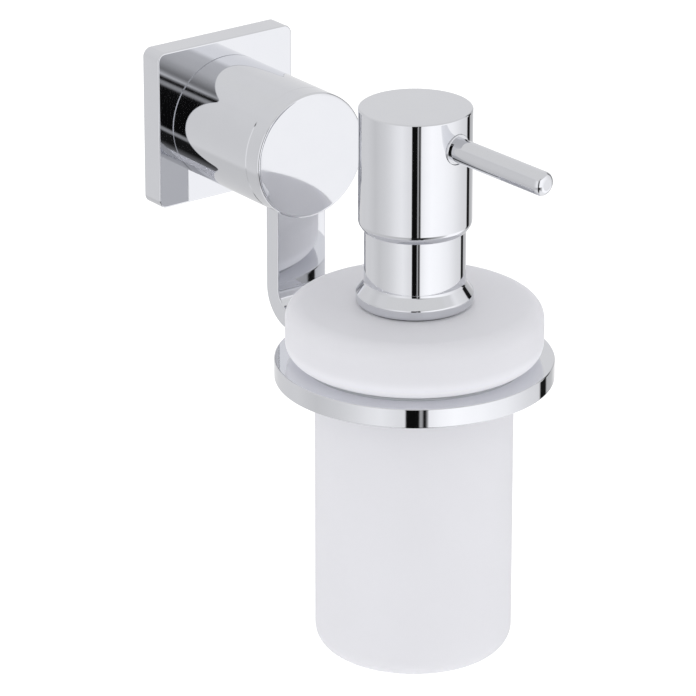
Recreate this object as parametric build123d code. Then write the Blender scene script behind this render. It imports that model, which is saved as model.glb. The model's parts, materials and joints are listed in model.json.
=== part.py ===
from build123d import *
import os

# Wall mounted soap dispenser: a square rosette and a round post carry a flat strap and a ring,
# and a frosted glass bottle with a pump hangs in the ring.
# Millimetres. The origin is the centre of the rosette's back, on the wall. +Z is up and the
# dispenser stands out from the wall towards -Y. It is symmetric about X = 0, apart from the pump's
# head, which turns on its stem and rests turned a little to one side.

# ---- wall fixing ----
rosette_side = 54.0
rosette_depth = 8.5
rosette_wall = 2.0
rosette_corner = 3.0
rosette_edge = 0.6
bracket_width = 24.0
bracket_height = 44.0
bracket_thickness = 4.0
bracket_corner = 4.0
wall_screw_spacing = 30.0
wall_screw_hole_d = 5.0
wall_screw_head_d = 9.6
boss_d = 16.0
boss_length = 12.5            # how far the boss reaches into the post
boss_groove_depth = 1.0
boss_groove_width = 5.6
rosette_hole_gap = 1.5        # around the boss

# ---- post ----
post_d = 42.5
post_front = 56.5             # wall to the post's flat front
post_wall = 2.25
post_back_wall = 15.5         # solid end that holds the boss
end_cap_length = 6.8
end_cap_front_wall = 2.0
end_cap_edge = 1.0
spigot_length = 4.0
spigot_wall = 1.5
seam_edge = 0.25
post_back_edge = 0.3          # chamfer that shows as a fine line round the post at the rosette
pillar_d = 17.0
socket_gap = 0.05             # boss in the post's socket
spigot_gap = 0.1              # end cap's spigot in the post
grub_screw_d = 5.0
grub_screw_length = 8.0
grub_screw_setback = 6.5      # rosette's front to the grub screw's axis
grub_hex = 2.5
strap_screw_d = 5.0
strap_screw_head_d = 9.6
strap_screw_length = 16.0
strap_screw_hex = 3.0
screw_gap = 0.05              # thread in its hole
hex_depth = 2.5
cut_past = 1.0                # how far a cut runs past the surface it opens

# ---- strap and ring ----
strap_width = 19.6
strap_thickness = 6.5
strap_setback = 5.3           # post's front to the strap's front
strap_top = 10.0              # above the post's axis
strap_top_corner = 4.0
strap_inner_bend = 6.0
strap_edge = 0.6
strap_slot_gap = 0.2
reach = 112.5                 # wall to the axis of the ring, bottle and pump
ring_top = -52.0
ring_height = 6.5
ring_band = 11.4              # flat top, from bore to rim
ring_edge = 0.4
liner_flange = 0.6
liner_flange_width = 3.0
liner_wall = 1.1
liner_length = 5.5
liner_chamfer = 0.5
bottle_gap = 0.5              # bottle in the liner

# ---- bottle ----
bottle_body_d = 64.0
bottle_body_length = 100.6    # below the head
bottle_base_round = 7.0
bottle_ledge = 9.5            # how far the head stands out from the body
bottle_head_height = 18.2
bottle_head_round = 5.5
bottle_root_round = 0.4
glass_wall = 3.2
glass_base = 6.0
glass_inner_round = 2.3
neck_insert_d = 30.4
neck_insert_length = 12.0
insert_gap = 0.05             # insert in the glass
thread_d = 26.0
thread_gap = 0.1              # plug in the insert

# ---- pump collar ----
collar_gasket_thickness = 0.3
collar_flare = 2.6            # how far the collar's lip stands out from the sleeve
collar_lip_height = 3.5
collar_lip_round = 1.0
collar_foot_round = 1.5
collar_cove_height = 3.7
collar_cove_round = 1.5
sleeve_d = 32.6
sleeve_wall = 1.3
sleeve_shown = 18.2           # between the cove and the cap, at rest
press_gap = 1.8               # between the sleeve and the head's core, with the pump pressed
core_height = 14.6
core_gap = 0.05               # core in the sleeve
plug_length = 11.0

# ---- pump head ----
cap_height = 40.0
cap_gap = 0.3                 # sleeve in the cap
cap_wall = 1.6
cap_top_wall = 2.2
cap_top_edge = 0.6
cap_bevel_width = 1.2
cap_bevel_height = 1.8
cap_bevel_round = 3.0
head_turn = 10.0              # degrees that the head rests turned towards +X
spout_slope = 4.0             # degrees that the spout slopes down towards its tip
spout_d = 7.9
spout_length = 55.6           # pump axis to tip
spout_drop = 8.6              # cap's top to the spout's line, at the pump's axis
spout_root = 5.5              # pump axis to the spout's inner end
spout_bore_d = 4.8
spout_tip_round = 2.2
spout_tip_wall = 2.5
outlet_d = 3.2
outlet_setback = 6.0          # tip to the outlet's centre
spout_hole_gap = 0.15
spout_recess_width = 1.1      # sunk ring in the cap, for the rim of the spout
spout_recess_depth = 1.0
spout_rim_gap = 0.05
spout_rim_rise = 0.15         # how far the rim stands out of the cap, at its top
spout_rim_round = 0.3
head_core_height = 15.0
head_core_gap = 0.05
head_core_wall = 1.5
head_core_roof = 2.0
head_core_hub_d = 14.0
head_core_rib = 1.6
spout_seat_wall = 2.2

# ---- pump works ----
stroke = 12.0
stem_d = 8.0
stem_bore_d = 4.0
stem_seat_d = 3.2             # outlet valve seat at the stem's top
stem_seat_length = 2.0
stem_socket_depth = 3.8
stem_gap = 0.05               # stem in the head, which turns on it
stem_guide_gap = 0.08         # stem in the lock ring
barrel_d = 19.0
barrel_bore_d = 14.0
barrel_floor = 4.0
barrel_cone_height = 4.0
barrel_flange_d = 22.6
barrel_flange_thickness = 1.6
barrel_gap = 0.1              # barrel in the core
flange_seat_gap = 0.1
housing_gasket_thickness = 0.6
housing_seat_rise = 2.0       # collar's foot to the ledge that carries the barrel
nipple_d = 9.6
nipple_length = 8.0
lock_ring_thickness = 4.0
lock_ring_nose_length = 3.6
lock_ring_tower_d = 15.0
lock_ring_tower_height = 12.4
piston_height = 6.0
piston_gap = 0.05             # piston in the barrel
piston_waist_d = 12.6
piston_lip = 1.2
piston_lip_slope = 0.6
piston_foot = 1.0
spring_d = 10.4               # mean diameter of the coils
spring_wire = 1.0
spring_turns = 8.0
spring_end_gap = 0.05
spring_packed = 22.0          # length of the spring with the pump pressed
inlet_ball_d = 5.0
inlet_seat_d = 4.0
inlet_pocket_depth = 3.0
inlet_pocket_gap = 0.3
outlet_ball_d = 4.0
outlet_chamber_gap = 0.7
ball_lift_gap = 0.02          # keeps each ball just off the edge of its seat
dip_tube_d = 6.4
dip_tube_bore_d = 4.4
dip_tube_gap = 0.05
dip_tube_inset = 7.0
dip_tube_floor_gap = 4.0

# ---- positions that follow from the sizes ----
post_r = post_d / 2
post_bore_r = post_r - post_wall
seam = post_front - end_cap_length
strap_front = post_front - strap_setback
strap_back = strap_front - strap_thickness
boss_end = rosette_depth + boss_length
grub_at = rosette_depth + grub_screw_setback
post_floor = rosette_depth + post_back_wall

ring_bottom = ring_top - ring_height
ring_bore_r = bottle_body_d / 2 + bottle_gap + liner_wall
ring_r = ring_bore_r + ring_band
liner_top = ring_top + liner_flange
head_bottom = liner_top
glass_top = head_bottom + bottle_head_height
glass_bottom = head_bottom - bottle_body_length
glass_floor = glass_bottom + glass_base
glass_neck_r = neck_insert_d / 2 + insert_gap

collar_foot = glass_top + collar_gasket_thickness
cove_top = collar_foot + collar_lip_height + collar_cove_height
cap_bottom = cove_top + sleeve_shown
cap_top = cap_bottom + cap_height
cap_bore_r = sleeve_d / 2 + cap_gap
cap_r = cap_bore_r + cap_wall
sleeve_bore_r = sleeve_d / 2 - sleeve_wall
collar_r = sleeve_d / 2 + collar_flare
spout_z = cap_top - spout_drop

housing_seat = collar_foot + housing_seat_rise
barrel_flange_bottom = housing_seat + housing_gasket_thickness
barrel_flange_top = barrel_flange_bottom + barrel_flange_thickness
piston_top = barrel_flange_top - lock_ring_nose_length
piston_bottom = piston_top - piston_height
barrel_floor_z = piston_bottom - stroke - spring_packed
barrel_bottom = barrel_floor_z - barrel_floor
nipple_top = barrel_bottom - barrel_cone_height
nipple_bottom = nipple_top - nipple_length
core_top = cap_top - cap_top_wall
head_core_bottom = core_top - head_core_height
sleeve_top = head_core_bottom - stroke - press_gap
stem_top = head_core_bottom + stem_socket_depth
outlet_chamber_r = outlet_ball_d / 2 + outlet_chamber_gap


# ---- helpers ----
def outline(corners):
    """Closed outline; each corner is (across, up) or (across, up, round)."""
    points = [corner[:2] for corner in corners]
    rounds = [corner[2] if len(corner) > 2 else 0 for corner in corners]
    if any(rounds):
        return make_face(FilletPolyline(*points, radius=rounds, close=True))
    return make_face(Polyline(*points, close=True))


def turned(corners):
    """Solid turned about the upright axis of the bottle; corners are (radius, height, round)."""
    return Pos(0, -reach, 0) * revolve(Plane.XZ * outline(corners), Axis.Z)


def turned_on_post(corners):
    """Solid turned about the post's axis; corners are (radius, distance from the wall, round)."""
    flipped = [(corner[0], -corner[1], *corner[2:]) for corner in corners]
    return revolve(outline(flipped), Axis.Y)


def rod_from_wall(radius, near, far, x=0, z=0):
    """Round bar square to the wall, between two distances from it."""
    return Pos(x, -(near + far) / 2, z) * Rot(90, 0, 0) * Cylinder(radius, far - near)


def upright_rod(radius, low, high, distance=reach):
    """Round bar parallel to Z, at a distance from the wall."""
    return Pos(0, -distance, (low + high) / 2) * Cylinder(radius, high - low)


def along_spout(solid):
    """Carries a solid made about the -Y axis to the spout's line, with the head as it rests."""
    return Pos(0, -reach, spout_z) * Rot(0, 0, head_turn) * Rot(spout_slope, 0, 0) * solid


def block(width, near, far, low, high, x=0):
    """Box centred on x, between two distances from the wall and two heights."""
    centre = Pos(x, -(near + far) / 2, (low + high) / 2)
    return centre * Box(width, far - near, high - low)


def hex_key(across_flats, depth):
    """Hexagonal socket that opens at Z = 0 and runs down."""
    hexagon = RegularPolygon(across_flats / 2, 6, major_radius=False)
    return extrude(hexagon, -depth)


# ---- wall fixing ----
def wall_bracket():
    """Plate that is screwed to the wall, with a grooved boss for the post."""
    plate = block(bracket_width, 0, bracket_thickness, -bracket_height / 2, bracket_height / 2)
    plate = fillet(plate.edges().filter_by(Axis.Y), bracket_corner)
    groove_r = boss_d / 2 - boss_groove_depth
    boss = turned_on_post([
        (0, 0),
        (boss_d / 2, 0),
        (boss_d / 2, grub_at - boss_groove_width / 2),
        (groove_r, grub_at - boss_groove_width / 2),
        (groove_r, grub_at + boss_groove_width / 2),
        (boss_d / 2, grub_at + boss_groove_width / 2),
        (boss_d / 2, boss_end),
        (0, boss_end),
    ])
    bracket = plate + boss
    hole_r = wall_screw_hole_d / 2
    head_r = wall_screw_head_d / 2
    sink = head_r - hole_r
    for z in (-wall_screw_spacing / 2, wall_screw_spacing / 2):
        bracket -= rod_from_wall(hole_r, 0, bracket_thickness, z=z)
        cone = Rot(90, 0, 0) * Cone(hole_r, head_r, sink)
        bracket -= Pos(0, -bracket_thickness + sink / 2, z) * cone
    return bracket


def rosette():
    """Square cover, open at the back, that the post clamps against the wall."""
    half = rosette_side / 2
    shell = block(rosette_side, 0, rosette_depth, -half, half)
    shell = fillet(shell.edges().filter_by(Axis.Y), rosette_corner)
    front = shell.faces().sort_by(Axis.Y)[0]
    shell = fillet(front.edges(), rosette_edge)
    inner = half - rosette_wall
    hollow = block(2 * inner, 0, rosette_depth - rosette_wall, -inner, inner)
    hollow = fillet(hollow.edges().filter_by(Axis.Y), rosette_corner - rosette_wall)
    hole = rod_from_wall(boss_d / 2 + rosette_hole_gap, 0, rosette_depth)
    return shell - hollow - hole


# ---- post ----
def strap_slot(near, far):
    """Cut for the strap through the underside of the post, between two distances from the wall."""
    width = strap_width + 2 * strap_slot_gap
    return block(width, near, far, -post_r - cut_past, -post_bore_r / 2)


def post_body():
    """Cast post: a socket for the boss behind, and a pillar for the strap's screw inside."""
    socket_r = boss_d / 2 + socket_gap
    socket_end = boss_end + socket_gap
    body = turned_on_post([
        (socket_r, rosette_depth),
        (post_r - post_back_edge, rosette_depth),
        (post_r, rosette_depth + post_back_edge),
        (post_r, seam - seam_edge),
        (post_r - seam_edge, seam),
        (post_bore_r, seam),
        (post_bore_r, post_floor),
        (pillar_d / 2, post_floor),
        (pillar_d / 2, strap_back),
        (0, strap_back),
        (0, socket_end),
        (socket_r, socket_end),
    ])
    body -= strap_slot(strap_back - strap_slot_gap, seam + cut_past)
    body -= rod_from_wall(strap_screw_d / 2, strap_front - strap_screw_length, strap_back + cut_past)
    return body - upright_rod(grub_screw_d / 2, -post_r - cut_past, -socket_r / 2, grub_at)


def post_end_cap():
    """Front of the post, with a spigot and a notch for the strap."""
    spigot_r = post_bore_r - spigot_gap
    inner_r = spigot_r - spigot_wall
    spigot_end = seam - spigot_length
    cap = turned_on_post([
        (0, post_front),
        (post_r, post_front, end_cap_edge),
        (post_r, seam + seam_edge),
        (post_r - seam_edge, seam),
        (spigot_r, seam),
        (spigot_r, spigot_end),
        (inner_r, spigot_end),
        (inner_r, post_front - end_cap_front_wall),
        (0, post_front - end_cap_front_wall),
    ])
    return cap - strap_slot(spigot_end - cut_past, strap_front + strap_slot_gap)


def grub_screw():
    """Screw under the post that presses into the boss's groove."""
    tip = -(boss_d / 2 - boss_groove_depth)
    screw = upright_rod(grub_screw_d / 2 - screw_gap, tip - grub_screw_length, tip, grub_at)
    screw = chamfer(screw.edges().group_by(Axis.Z)[-1], grub_screw_d / 5)
    socket = Pos(0, -grub_at, tip - grub_screw_length) * Rot(180, 0, 0) * hex_key(grub_hex, hex_depth)
    return screw - socket


def strap_screw():
    """Countersunk screw that holds the strap to the post's pillar."""
    thread_r = strap_screw_d / 2 - screw_gap
    head_r = strap_screw_head_d / 2
    screw = turned_on_post([
        (0, strap_front),
        (head_r, strap_front),
        (thread_r, strap_front - (head_r - thread_r)),
        (thread_r, strap_front - strap_screw_length + hex_depth),
        (0, strap_front - strap_screw_length + hex_depth),
    ])
    return screw - Pos(0, -strap_front, 0) * Rot(90, 0, 0) * hex_key(strap_screw_hex, hex_depth)


# ---- strap and ring ----
def strap_arm():
    """Flat bar that drops out of the post and bends forward to the ring."""
    side = outline([
        (-strap_back, strap_top),
        (-strap_back, ring_bottom, strap_inner_bend + strap_thickness),
        (-reach, ring_bottom),
        (-reach, ring_bottom + strap_thickness),
        (-strap_front, ring_bottom + strap_thickness, strap_inner_bend),
        (-strap_front, strap_top),
    ])
    bar = extrude(Plane.YZ * side, strap_width / 2, both=True)
    upper = bar.edges().filter_by(Axis.Y).group_by(Axis.Z)[-1]
    bar = fillet(upper, strap_top_corner)
    edges = bar.faces().sort_by(Axis.X)[0].edges() + bar.faces().sort_by(Axis.X)[-1].edges()
    long_edges = edges.filter_by(lambda edge: edge.center().Y > -reach + strap_edge)
    bar = fillet(long_edges, strap_edge)
    bar -= upright_rod(ring_r, ring_bottom - ring_height, ring_top + ring_height)
    clear_r = strap_screw_d / 2 + strap_slot_gap
    head_r = strap_screw_head_d / 2 + screw_gap
    sink = head_r - clear_r
    bar -= rod_from_wall(clear_r, strap_back, strap_front)
    return bar - Pos(0, -strap_front + sink / 2, 0) * Rot(90, 0, 0) * Cone(clear_r, head_r, sink)


def holder_ring():
    """Flat ring, brazed to the strap's end, that the bottle's head rests in."""
    return turned([
        (ring_bore_r, ring_bottom, ring_edge),
        (ring_r, ring_bottom, ring_edge),
        (ring_r, ring_top, ring_edge),
        (ring_bore_r, ring_top),
    ])


def ring_liner():
    """Thin plastic seat between the metal ring and the glass."""
    outer_r = ring_bore_r
    inner_r = ring_bore_r - liner_wall
    return turned([
        (inner_r, ring_top - liner_length),
        (outer_r, ring_top - liner_length),
        (outer_r, ring_top),
        (outer_r + liner_flange_width, ring_top),
        (outer_r + liner_flange_width, liner_top),
        (inner_r + liner_chamfer, liner_top),
        (inner_r, liner_top - liner_chamfer),
    ])


# ---- bottle ----
def glass_bottle():
    """Blown glass: a wide head that rests in the ring, and a straight body below."""
    body_r = bottle_body_d / 2
    head_r = body_r + bottle_ledge
    return turned([
        (0, glass_bottom),
        (body_r, glass_bottom, bottle_base_round),
        (body_r, head_bottom, bottle_root_round),
        (head_r, head_bottom, bottle_head_round),
        (head_r, glass_top, bottle_head_round),
        (glass_neck_r, glass_top),
        (glass_neck_r, glass_top - glass_wall),
        (head_r - glass_wall, glass_top - glass_wall, glass_inner_round),
        (head_r - glass_wall, head_bottom + glass_wall, glass_inner_round),
        (body_r - glass_wall, head_bottom + glass_wall, glass_inner_round),
        (body_r - glass_wall, glass_floor, bottle_base_round - glass_wall),
        (0, glass_floor),
    ])


def neck_insert():
    """Plastic bush bonded into the neck, which takes the pump's threaded plug."""
    return turned([
        (thread_d / 2, glass_top - neck_insert_length),
        (neck_insert_d / 2, glass_top - neck_insert_length),
        (neck_insert_d / 2, glass_top),
        (thread_d / 2, glass_top),
    ])


# ---- pump collar ----
def collar_gasket():
    """Flat washer between the glass and the collar."""
    outer_r = collar_r - collar_foot_round
    inner_r = thread_d / 2
    return turned([
        (inner_r, glass_top),
        (outer_r, glass_top),
        (outer_r, collar_foot),
        (inner_r, collar_foot),
    ])


def pump_collar():
    """Plated collar: a rounded lip, a cove, and the sleeve that the cap slides over."""
    sleeve_r = sleeve_d / 2
    lip_top = collar_foot + collar_lip_height
    return turned([
        (sleeve_bore_r, collar_foot),
        (collar_r, collar_foot, collar_foot_round),
        (collar_r, lip_top, collar_lip_round),
        (sleeve_r, cove_top, collar_cove_round),
        (sleeve_r, sleeve_top, sleeve_wall / 4),
        (sleeve_bore_r, sleeve_top),
    ])


def collar_core():
    """Plastic core of the collar: its plug screws into the neck and its ledge carries the barrel."""
    plug_r = thread_d / 2 - thread_gap
    core_r = sleeve_bore_r - core_gap
    barrel_r = barrel_d / 2 + barrel_gap
    seat_r = barrel_flange_d / 2 + flange_seat_gap
    return turned([
        (barrel_r, collar_foot - plug_length),
        (plug_r, collar_foot - plug_length),
        (plug_r, collar_foot),
        (core_r, collar_foot),
        (core_r, collar_foot + core_height),
        (seat_r, collar_foot + core_height),
        (seat_r, housing_seat),
        (barrel_r, housing_seat),
    ])


# ---- pump works ----
def housing_gasket():
    """Washer under the barrel's flange."""
    return turned([
        (barrel_d / 2 + barrel_gap, housing_seat),
        (barrel_flange_d / 2, housing_seat),
        (barrel_flange_d / 2, barrel_flange_bottom),
        (barrel_d / 2 + barrel_gap, barrel_flange_bottom),
    ])


def pump_housing():
    """Barrel with the inlet valve's pocket, and a nipple for the dip tube."""
    barrel_r = barrel_d / 2
    bore_r = barrel_bore_d / 2
    pocket_r = inlet_ball_d / 2 + inlet_pocket_gap
    pocket_floor = barrel_floor_z - inlet_pocket_depth
    tube_r = dip_tube_d / 2 + dip_tube_gap
    tube_end = nipple_bottom + dip_tube_inset
    return turned([
        (bore_r, barrel_flange_top),
        (barrel_flange_d / 2, barrel_flange_top),
        (barrel_flange_d / 2, barrel_flange_bottom),
        (barrel_r, barrel_flange_bottom),
        (barrel_r, barrel_bottom),
        (nipple_d / 2, nipple_top),
        (nipple_d / 2, nipple_bottom),
        (tube_r, nipple_bottom),
        (tube_r, tube_end),
        (inlet_seat_d / 2, tube_end),
        (inlet_seat_d / 2, pocket_floor),
        (pocket_r, pocket_floor),
        (pocket_r, barrel_floor_z),
        (bore_r, barrel_floor_z),
    ])


def lock_ring():
    """Ring that closes the barrel, guides the stem and stops the piston."""
    guide_r = stem_d / 2 + stem_guide_gap
    nose_r = barrel_bore_d / 2 - barrel_gap
    ring_top_z = barrel_flange_top + lock_ring_thickness
    tower_top = ring_top_z + lock_ring_tower_height
    return turned([
        (guide_r, piston_top),
        (nose_r, piston_top),
        (nose_r, barrel_flange_top),
        (barrel_flange_d / 2, barrel_flange_top),
        (barrel_flange_d / 2, ring_top_z),
        (lock_ring_tower_d / 2, ring_top_z),
        (lock_ring_tower_d / 2, tower_top),
        (guide_r, tower_top),
    ])


def return_spring():
    """Coil spring between the barrel's floor and the piston."""
    low = barrel_floor_z + spring_wire / 2 + spring_end_gap
    high = piston_bottom - spring_wire / 2 - spring_end_gap
    coil = Helix(pitch=(high - low) / spring_turns, height=high - low, radius=spring_d / 2)
    start = Plane(origin=coil @ 0, z_dir=coil % 0)
    wire = sweep(start * Circle(spring_wire / 2), path=coil)
    return Pos(0, -reach, low) * wire


def inlet_ball():
    """Steel ball on the seat at the barrel's floor."""
    seat_z = barrel_floor_z - inlet_pocket_depth
    rise = ((inlet_ball_d / 2) ** 2 - (inlet_seat_d / 2) ** 2) ** 0.5
    return Pos(0, -reach, seat_z + rise + ball_lift_gap) * Sphere(inlet_ball_d / 2)


def dip_tube():
    """Tube that draws the soap from the foot of the bottle."""
    return turned([
        (dip_tube_bore_d / 2, glass_floor + dip_tube_floor_gap),
        (dip_tube_d / 2, glass_floor + dip_tube_floor_gap),
        (dip_tube_d / 2, nipple_bottom + dip_tube_inset),
        (dip_tube_bore_d / 2, nipple_bottom + dip_tube_inset),
    ])


def pump_stem():
    """Hollow stem from the piston up into the head, with the outlet valve's seat on top."""
    return turned([
        (stem_bore_d / 2, piston_bottom + piston_foot),
        (stem_d / 2, piston_bottom + piston_foot),
        (stem_d / 2, stem_top),
        (stem_seat_d / 2, stem_top),
        (stem_seat_d / 2, stem_top - stem_seat_length),
        (stem_bore_d / 2, stem_top - stem_seat_length),
    ])


def piston():
    """Plastic piston with two sealing lips, pressed on the stem's foot."""
    lip_r = barrel_bore_d / 2 - piston_gap
    waist_r = piston_waist_d / 2
    return turned([
        (stem_bore_d / 2, piston_bottom),
        (lip_r, piston_bottom),
        (lip_r, piston_bottom + piston_lip),
        (waist_r, piston_bottom + piston_lip + piston_lip_slope),
        (waist_r, piston_top - piston_lip - piston_lip_slope),
        (lip_r, piston_top - piston_lip),
        (lip_r, piston_top),
        (stem_d / 2, piston_top),
        (stem_d / 2, piston_bottom + piston_foot),
        (stem_bore_d / 2, piston_bottom + piston_foot),
    ])


def outlet_ball():
    """Steel ball on the seat at the stem's top."""
    rise = ((outlet_ball_d / 2) ** 2 - (stem_seat_d / 2) ** 2) ** 0.5
    return Pos(0, -reach, stem_top + rise + ball_lift_gap) * Sphere(outlet_ball_d / 2)


# ---- pump head ----
def pump_cap():
    """Plated cap with a flat top, and a hole with a sunk ring round it for the spout's rim."""
    bevel_r = cap_r - cap_bevel_width
    cap = turned([
        (0, cap_top),
        (cap_r, cap_top, cap_top_edge),
        (cap_r, cap_bottom + cap_bevel_height, cap_bevel_round),
        (bevel_r, cap_bottom),
        (cap_bore_r, cap_bottom),
        (cap_bore_r, core_top),
        (0, core_top),
    ])
    hole = rod_from_wall(spout_d / 2 + spout_hole_gap, spout_root, cap_r + cut_past)
    recess_floor = cap_r - spout_recess_depth
    recess = rod_from_wall(spout_d / 2 + spout_recess_width, recess_floor, cap_r + cut_past)
    return cap - along_spout(hole) - along_spout(recess)


def head_core():
    """Plastic core inside the cap: joins the stem to the spout."""
    core_r = cap_bore_r - head_core_gap
    core = upright_rod(core_r, head_core_bottom, core_top)
    pocket = upright_rod(core_r - head_core_wall, head_core_bottom, core_top - head_core_roof)
    pocket -= upright_rod(head_core_hub_d / 2, head_core_bottom, core_top)
    pocket -= along_spout(rod_from_wall(spout_d / 2 + spout_seat_wall, 0, core_r))
    half_rib = head_core_rib / 2
    pocket -= block(2 * core_r, reach - half_rib, reach + half_rib, head_core_bottom, core_top)
    pocket -= block(head_core_rib, reach - core_r, reach, head_core_bottom, core_top)
    core -= pocket
    core -= upright_rod(stem_d / 2 + stem_gap, head_core_bottom, stem_top)
    core -= upright_rod(outlet_chamber_r, stem_top, spout_z + spout_bore_d / 2 + outlet_chamber_gap)
    core -= along_spout(rod_from_wall(spout_bore_d / 2, 0, spout_root))
    return core - along_spout(rod_from_wall(spout_d / 2, spout_root, cap_r))


def spout_tube():
    """Straight round spout: a rim against the cap, a closed rounded tip, an outlet underneath."""
    spout = rod_from_wall(spout_d / 2, spout_root, spout_length)
    spout = fillet(spout.edges().sort_by(Axis.Y)[0], spout_tip_round)
    spout -= rod_from_wall(spout_bore_d / 2, spout_root, spout_length - spout_tip_wall)
    rim_r = spout_d / 2 + spout_recess_width - spout_rim_gap
    rim_back = cap_r - spout_recess_depth + spout_rim_gap
    rim = rod_from_wall(rim_r, rim_back, cap_r + spout_rim_rise)
    rim = fillet(rim.edges().sort_by(Axis.Y)[0], spout_rim_round)
    rim -= rod_from_wall(spout_d / 2 - spout_rim_gap, rim_back, cap_r + spout_rim_rise)
    spout += rim
    outlet = upright_rod(outlet_d / 2, -spout_d, 0, spout_length - outlet_setback)
    return along_spout(spout - outlet)


pieces = [
    wall_bracket, rosette, post_body, post_end_cap, grub_screw, strap_screw,
    strap_arm, holder_ring, ring_liner,
    glass_bottle, neck_insert,
    collar_gasket, pump_collar, collar_core,
    housing_gasket, pump_housing, lock_ring, return_spring, inlet_ball, dip_tube,
    pump_stem, piston, outlet_ball,
    pump_cap, head_core, spout_tube,
]

os.makedirs("parts", exist_ok=True)
for piece in pieces:
    export_step(piece(), f"parts/{piece.__name__}.step")
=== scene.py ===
import json
from math import cos, pi, radians, sin

import bpy
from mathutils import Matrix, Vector


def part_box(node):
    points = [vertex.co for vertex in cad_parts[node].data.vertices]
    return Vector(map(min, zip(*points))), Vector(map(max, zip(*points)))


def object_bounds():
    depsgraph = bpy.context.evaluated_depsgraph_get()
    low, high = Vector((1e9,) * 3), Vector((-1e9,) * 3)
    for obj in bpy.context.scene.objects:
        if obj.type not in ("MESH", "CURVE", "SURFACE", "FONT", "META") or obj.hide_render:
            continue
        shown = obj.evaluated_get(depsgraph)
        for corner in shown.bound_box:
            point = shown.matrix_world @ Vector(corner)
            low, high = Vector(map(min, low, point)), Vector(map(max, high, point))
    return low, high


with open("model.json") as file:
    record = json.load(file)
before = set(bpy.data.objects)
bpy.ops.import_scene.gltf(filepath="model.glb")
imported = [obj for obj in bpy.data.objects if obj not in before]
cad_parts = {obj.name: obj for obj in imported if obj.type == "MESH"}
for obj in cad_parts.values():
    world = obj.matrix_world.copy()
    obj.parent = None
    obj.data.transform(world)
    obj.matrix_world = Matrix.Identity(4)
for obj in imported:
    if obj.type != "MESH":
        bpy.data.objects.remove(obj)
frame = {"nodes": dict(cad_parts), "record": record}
cad_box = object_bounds()

# Wall mounted soap dispenser: chromed rosette, post, strap, ring and pump, and a frosted bottle.
# Metres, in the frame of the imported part: the wall is Y = 0, -Y stands out from it and +Z is up.

MM = 0.001
nodes = frame["nodes"]


# ---- nodes and colours ----
def linear(hex_colour):
    """sRGB hex to a linear colour with alpha."""
    channels = [int(hex_colour[i:i + 2], 16) / 255 for i in (1, 3, 5)]
    return (*[c / 12.92 if c <= 0.04045 else ((c + 0.055) / 1.055) ** 2.4 for c in channels], 1)


def add(tree, kind, settings=None, **links):
    """Adds a node. Settings set its properties, or its inputs where the key is an input's name or
    number; links feed its inputs, with _ for a space and i3 for input number 3."""
    node = tree.nodes.new(kind)
    for key, value in (settings or {}).items():
        if isinstance(key, int) or key in node.inputs:
            node.inputs[key].default_value = value
        else:
            setattr(node, key, value)
    for key, source in links.items():
        name = int(key[1:]) if key[1:].isdigit() else key.replace("_", " ")
        tree.links.new(source, node.inputs[name])
    return node


def new_tree(holder):
    """Empties a material's or world's node tree and gives it back."""
    holder.use_nodes = True
    holder.node_tree.nodes.clear()
    return holder.node_tree


# ---- studio ----
CAMERA_TURN = 36.447       # degrees that the camera stands round from straight in front
CAMERA_RISE = 21.804
CAMERA_AWAY = 1.6854
LENS = 265.63
AIM_OFFSET = Vector((5.333, 14.304, -4.575)) * MM   # from the middle of the dispenser


def make_camera():
    """Long lens, from the front left and a little above."""
    turn, rise = radians(CAMERA_TURN), radians(CAMERA_RISE)
    back = Vector((-sin(turn) * cos(rise), -cos(turn) * cos(rise), sin(rise)))
    camera = bpy.data.objects.new("camera", bpy.data.cameras.new("camera"))
    bpy.context.scene.collection.objects.link(camera)
    camera.data.lens = LENS
    camera.location = (cad_box[0] + cad_box[1]) / 2 + AIM_OFFSET + back * CAMERA_AWAY
    camera.rotation_mode = "QUATERNION"
    camera.rotation_quaternion = (-back).to_track_quat("-Z", "Y")
    bpy.context.scene.camera = camera


# What stands round the studio, as polished metal shows it, by the angle round from the camera in
# degrees: the left wall, the dark gap at the camera with a thin bright slit in it, the big soft
# box on the right, the thin dark gap behind it, and the wall behind. Each is where it starts and
# how bright, from 0 to 1 of the studio's power.
ROUND_THE_ROOM = [
    (-180, 0.60), (-148, 0.56), (-112, 0.59), (-88, 0.53), (-64, 0.60), (-52, 0.66), (-40, 0.74),
    (-28, 0.79), (-14, 0.71), (-7.6, 0.69), (-7.2, 0.004), (3.4, 0.004), (3.8, 0.34), (6.0, 0.30),
    (6.4, 0.004), (9.6, 0.02), (10.4, 0.80), (20, 0.90), (32, 0.96), (56, 0.92), (80, 0.84),
    (104, 0.70), (122, 0.64), (125, 0.60), (125.4, 0.008), (137.6, 0.008), (138, 0.42), (152, 0.44),
    (164, 0.60), (180, 0.60),
]
# The same round above the walls, below the ceiling: dark just right of the camera, and paler
# from there on round.
ROUND_THE_TOP = [
    (-180, 0.60), (2, 0.60), (5, 0.03), (9, 0.05), (16, 0.20), (24, 0.38), (33, 0.48), (50, 0.57),
    (73, 0.62), (180, 0.60),
]
# Round the edge of the floor, below the walls: dark under the camera, and bright to the right.
ROUND_THE_FOOT = [
    (-180, 0.52), (-60, 0.50), (-30, 0.48), (-10, 0.42), (-8, 0.01), (18, 0.01), (34, 0.24),
    (60, 0.52), (74, 0.97), (112, 0.95), (132, 0.50), (180, 0.50),
]
# The floor itself: bright, with the same dark strip running in under the dispenser.
ROUND_THE_FLOOR = [
    (-180, 0.72), (-16, 0.66), (-13, 0.01), (7, 0.01), (9, 0.40), (12, 0.30), (14, 0.02), (18, 0.05),
    (21, 0.72), (70, 0.80), (180, 0.72),
]
STUDIO_POWER = 1.45
CEILING = 0.60
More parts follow.
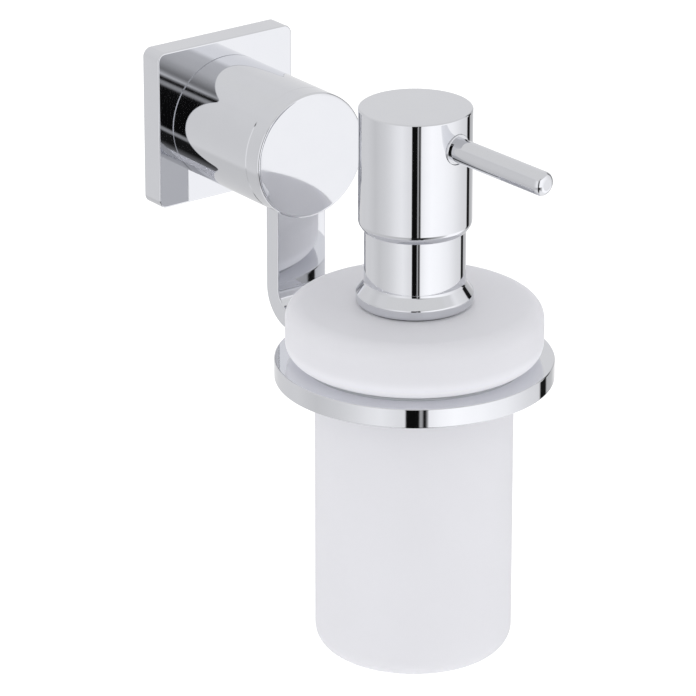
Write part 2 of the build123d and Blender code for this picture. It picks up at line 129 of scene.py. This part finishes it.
# Heights in degrees between which each band passes into the next, from the walls up and down.
WALL_TO_TOP = (28, 34)
TOP_TO_CEILING = (37.5, 41)
WALL_TO_FOOT = (-24, -29)
FOOT_TO_FLOOR = (-42, -54)


def band(tree, around, brightness):
    """Colour round the studio, from a list of angles and how bright it is at each."""
    ramp = add(tree, "ShaderNodeValToRGB", Fac=around)
    stops = ramp.color_ramp.elements
    while len(stops) < len(brightness):
        stops.new(0.5)
    for stop, (angle, bright) in zip(stops, brightness):
        stop.position = 0.5 + angle / 360
        stop.color = (bright, bright, bright * 1.01, 1)
    return ramp.outputs["Color"]


def meet(tree, height, heights, first, second):
    """Passes from the first colour to the second between two heights."""
    low, high = [sin(radians(angle)) for angle in heights]
    share = add(tree, "ShaderNodeMapRange", {"interpolation_type": "SMOOTHSTEP",
                "From Min": low, "From Max": high}, Value=height)
    mix = add(tree, "ShaderNodeMix", {"data_type": "RGBA"}, Factor=share.outputs[0], i6=first,
              i7=second)
    return mix.outputs[2]


def make_world():
    """Soft even light for the matt surfaces, white behind, and the room for the polished ones."""
    world = bpy.data.worlds.new("soft studio")
    bpy.context.scene.world = world
    tree = new_tree(world)
    place = add(tree, "ShaderNodeTexCoord")
    to_camera = 1.5 * pi - radians(CAMERA_TURN)
    turned = add(tree, "ShaderNodeMapping", {"Rotation": (0, 0, -to_camera)},
                 Vector=place.outputs["Generated"])
    around = add(tree, "ShaderNodeTexGradient", {"gradient_type": "RADIAL"},
                 Vector=turned.outputs[0]).outputs["Fac"]
    height = add(tree, "ShaderNodeSeparateXYZ", Vector=place.outputs["Generated"]).outputs["Z"]
    ceiling = add(tree, "ShaderNodeCombineColor", {"Red": CEILING, "Green": CEILING, "Blue": CEILING})
    room = band(tree, around, ROUND_THE_ROOM)
    room = meet(tree, height, WALL_TO_TOP, room, band(tree, around, ROUND_THE_TOP))
    room = meet(tree, height, TOP_TO_CEILING, room, ceiling.outputs[0])
    room = meet(tree, height, WALL_TO_FOOT, room, band(tree, around, ROUND_THE_FOOT))
    room = meet(tree, height, FOOT_TO_FLOOR, room, band(tree, around, ROUND_THE_FLOOR))
    ray = add(tree, "ShaderNodeLightPath")
    polished = add(tree, "ShaderNodeBackground", {"Strength": STUDIO_POWER}, Color=room)
    even = add(tree, "ShaderNodeBackground", {"Color": (1, 1, 1, 1)})
    through = add(tree, "ShaderNodeMath", {"operation": "GREATER_THAN", 1: 0.5},
                  i0=ray.outputs["Is Transmission Ray"])
    mirror = add(tree, "ShaderNodeMath", {"operation": "SUBTRACT", "use_clamp": True},
                 i0=ray.outputs["Is Glossy Ray"], i1=through.outputs[0])
    both = add(tree, "ShaderNodeMixShader", None, Fac=mirror.outputs[0], i1=even.outputs[0],
               i2=polished.outputs[0])
    add(tree, "ShaderNodeOutputWorld", None, Surface=both.outputs[0])


FLOOR_SIDE = 12.0
FLOOR_DROP = 0.45          # below the dispenser


def make_floor():
    """Wide pale floor well below the dispenser: matt paper that hardly varies and stays white."""
    half = FLOOR_SIDE / 2
    corners = [(-half, -half), (half, -half), (half, half), (-half, half)]
    mesh = bpy.data.meshes.new("floor")
    mesh.from_pydata([(x, y, cad_box[0].z - FLOOR_DROP) for x, y in corners], [], [(0, 1, 2, 3)])
    floor = bpy.data.objects.new("floor", mesh)
    bpy.context.scene.collection.objects.link(floor)
    material = bpy.data.materials.new("white paper sweep")
    tree = new_tree(material)
    place = add(tree, "ShaderNodeTexCoord")
    fibre = add(tree, "ShaderNodeTexNoise", {"Scale": 1 / (25 * MM)}, Vector=place.outputs["Object"])
    tint = add(tree, "ShaderNodeMix", {"data_type": "RGBA", 6: linear("#F7F7F7"), 7: linear("#FBFBFB")},
               Factor=fibre.outputs["Fac"])
    paper = add(tree, "ShaderNodeBsdfPrincipled",
                {"Roughness": 0.9, "Emission Color": (1, 1, 1, 1), "Emission Strength": 0.25},
                Base_Color=tint.outputs[2])
    add(tree, "ShaderNodeOutputMaterial", None, Surface=paper.outputs[0])
    mesh.materials.append(material)
    floor.visible_glossy = False


# ---- materials ----
def material_tree(name):
    """A new material and its empty tree."""
    material = bpy.data.materials.new(name)
    return material, new_tree(material)


def bright_chrome():
    """Polished chrome plate on cast zinc and brass: a mirror with a faint cool tint, whose
    polished surface undulates by a hair and carries a thin, uneven film from handling."""
    material, tree = material_tree("bright_chrome_plate")
    place = add(tree, "ShaderNodeTexCoord")
    swell = add(tree, "ShaderNodeTexNoise", {"Scale": 1 / (14 * MM), "Detail": 1.0},
                Vector=place.outputs["Object"])
    film = add(tree, "ShaderNodeTexNoise", {"Scale": 1 / (9 * MM), "Detail": 4.0, "Roughness": 0.6},
               Vector=place.outputs["Object"])
    gloss = add(tree, "ShaderNodeMapRange", {"From Min": 0.35, "From Max": 0.75, "To Min": 0.025,
                "To Max": 0.06}, Value=film.outputs["Fac"])
    tint = add(tree, "ShaderNodeMix", {"data_type": "RGBA", 6: linear("#D5D6DA"),
               7: linear("#D9DADD")}, Factor=film.outputs["Fac"])
    bump = add(tree, "ShaderNodeBump", {"Strength": 0.10, "Distance": 0.05 * MM},
               Height=swell.outputs["Fac"])
    metal = add(tree, "ShaderNodeBsdfPrincipled", {"Metallic": 1.0}, Base_Color=tint.outputs[2],
                Roughness=gloss.outputs[0], Normal=bump.outputs[0])
    add(tree, "ShaderNodeOutputMaterial", None, Surface=metal.outputs[0])
    return material


BODY_PAINTED_GLOW = 0.09           # painted light: the glass's own glow stands in for light carried in the glass: in the body, in the head, and stronger at its ledge, where the ring shades it
HEAD_PAINTED_GLOW = 0.07
LEDGE_PAINTED_GLOW = 0.30
LEDGE_BELOW_TOP = 18 * MM
LEDGE_FADE = 7 * MM
LEDGE_MARGIN = 1 * MM


def etched_glass():
    """Acid etched soda glass: satin outside, so it glows white and only hints at what is inside.
    Painted light: a faint glow of the glass's own stands in for light that the glass carries from its
    far side. It is painted stronger at the ledge in the ring, where the wall is thick and lies edge on,
    to lift the shade that the ring casts there. The real etch is far finer than its pattern here, which
    is drawn coarser so that it doesn't break up into noise."""
    material, tree = material_tree("acid_etched_glass")
    place = add(tree, "ShaderNodeTexCoord")
    etch = add(tree, "ShaderNodeTexNoise", {"Scale": 1 / (0.6 * MM), "Detail": 2.0},
               Vector=place.outputs["Object"])
    cloud = add(tree, "ShaderNodeTexNoise", {"Scale": 1 / (22 * MM), "Detail": 2.0},
                Vector=place.outputs["Object"])
    tint = add(tree, "ShaderNodeMix", {"data_type": "RGBA", 6: linear("#E0E0E4"),
               7: linear("#E3E3E7")}, Factor=cloud.outputs["Fac"])
    satin = add(tree, "ShaderNodeMapRange", {"To Min": 0.5, "To Max": 0.62},
                Value=cloud.outputs["Fac"])
    bump = add(tree, "ShaderNodeBump", {"Strength": 0.12, "Distance": 0.02 * MM},
               Height=etch.outputs["Fac"])
    height = add(tree, "ShaderNodeSeparateXYZ", Vector=place.outputs["Object"])
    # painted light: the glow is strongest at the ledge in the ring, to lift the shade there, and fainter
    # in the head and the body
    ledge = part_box("glass_bottle")[1].z - LEDGE_BELOW_TOP
    painted_ledge_glow = add(tree, "ShaderNodeMapRange", {"interpolation_type": "SMOOTHSTEP",
                  "From Min": ledge + LEDGE_FADE, "From Max": ledge, "To Min": HEAD_PAINTED_GLOW,
                  "To Max": LEDGE_PAINTED_GLOW}, Value=height.outputs["Z"])
    in_head = add(tree, "ShaderNodeMath", {"operation": "GREATER_THAN", 1: ledge - LEDGE_MARGIN},
                  i0=height.outputs["Z"])
    painted_glow = add(tree, "ShaderNodeMix", {"A": BODY_PAINTED_GLOW}, Factor=in_head.outputs[0],
               B=painted_ledge_glow.outputs[0])
    glass = add(tree, "ShaderNodeBsdfPrincipled",
                {"IOR": 1.5, "Transmission Weight": 0.3, "Emission Color": linear("#F4F4F8")},
                Base_Color=tint.outputs[2], Roughness=satin.outputs[0], Normal=bump.outputs[0],
                Emission_Strength=painted_glow.outputs[0])
    add(tree, "ShaderNodeOutputMaterial", None, Surface=glass.outputs[0])
    return material


def moulded(name, dark, light, low_gloss, high_gloss, ior, grain, weight=0.0):
    """Moulded plastic or rubber: slight cloudiness, and the grain that the mould leaves, drawn a
    little coarser than it is."""
    material, tree = material_tree(name)
    place = add(tree, "ShaderNodeTexCoord")
    cloud = add(tree, "ShaderNodeTexNoise", {"Scale": 1 / (6 * MM), "Detail": 3.0},
                Vector=place.outputs["Object"])
    skin = add(tree, "ShaderNodeTexNoise", {"Scale": 1 / grain, "Detail": 2.0},
               Vector=place.outputs["Object"])
    tint = add(tree, "ShaderNodeMix", {"data_type": "RGBA", 6: linear(dark), 7: linear(light)},
               Factor=cloud.outputs["Fac"])
    gloss = add(tree, "ShaderNodeMapRange", {"To Min": low_gloss, "To Max": high_gloss},
                Value=cloud.outputs["Fac"])
    bump = add(tree, "ShaderNodeBump", {"Strength": 0.15, "Distance": 0.02 * MM},
               Height=skin.outputs["Fac"])
    plastic = add(tree, "ShaderNodeBsdfPrincipled", {"IOR": ior, "Transmission Weight": weight},
                  Base_Color=tint.outputs[2], Roughness=gloss.outputs[0], Normal=bump.outputs[0])
    add(tree, "ShaderNodeOutputMaterial", None, Surface=plastic.outputs[0])
    return material


def turned_steel(name, dark, light, low_gloss, high_gloss):
    """Steel as it comes from the machine or the plating bath: bright, with fine uneven marks."""
    material, tree = material_tree(name)
    place = add(tree, "ShaderNodeTexCoord")
    marks = add(tree, "ShaderNodeTexNoise", {"Scale": 1 / (1.5 * MM), "Detail": 5.0},
                Vector=place.outputs["Object"])
    tint = add(tree, "ShaderNodeMix", {"data_type": "RGBA", 6: linear(dark), 7: linear(light)},
               Factor=marks.outputs["Fac"])
    gloss = add(tree, "ShaderNodeMapRange", {"To Min": low_gloss, "To Max": high_gloss},
                Value=marks.outputs["Fac"])
    bump = add(tree, "ShaderNodeBump", {"Strength": 0.1, "Distance": 0.02 * MM},
               Height=marks.outputs["Fac"])
    metal = add(tree, "ShaderNodeBsdfPrincipled", {"Metallic": 1.0}, Base_Color=tint.outputs[2],
                Roughness=gloss.outputs[0], Normal=bump.outputs[0])
    add(tree, "ShaderNodeOutputMaterial", None, Surface=metal.outputs[0])
    return material


finishes = {
    "chrome": bright_chrome(),
    "frosted_glass": etched_glass(),
    "white_plastic": moulded("moulded_polypropylene", "#E4E4E1", "#ECECEA", 0.38, 0.5, 1.49, 0.5 * MM),
    "clear_plastic": moulded("milky_polyethylene", "#E6E9EA", "#F0F2F2", 0.3, 0.42, 1.51, 0.5 * MM, 0.5),
    "seal": moulded("nitrile_rubber", "#2C2C2E", "#37373A", 0.6, 0.75, 1.52, 0.3 * MM),
    "zinc": turned_steel("zinc_plated_steel", "#A9ABAD", "#B9BBBD", 0.25, 0.4),
    "stainless": turned_steel("bright_stainless_steel", "#BEBDBB", "#CBCAC8", 0.12, 0.22),
}
for part in frame["record"]["subparts"]:
    mesh = nodes[part["node"]].data
    mesh.materials.clear()
    mesh.materials.append(finishes[part["material_slot"]])

make_camera()
make_world()
make_floor()
bpy.context.scene.view_settings.view_transform = "Standard"
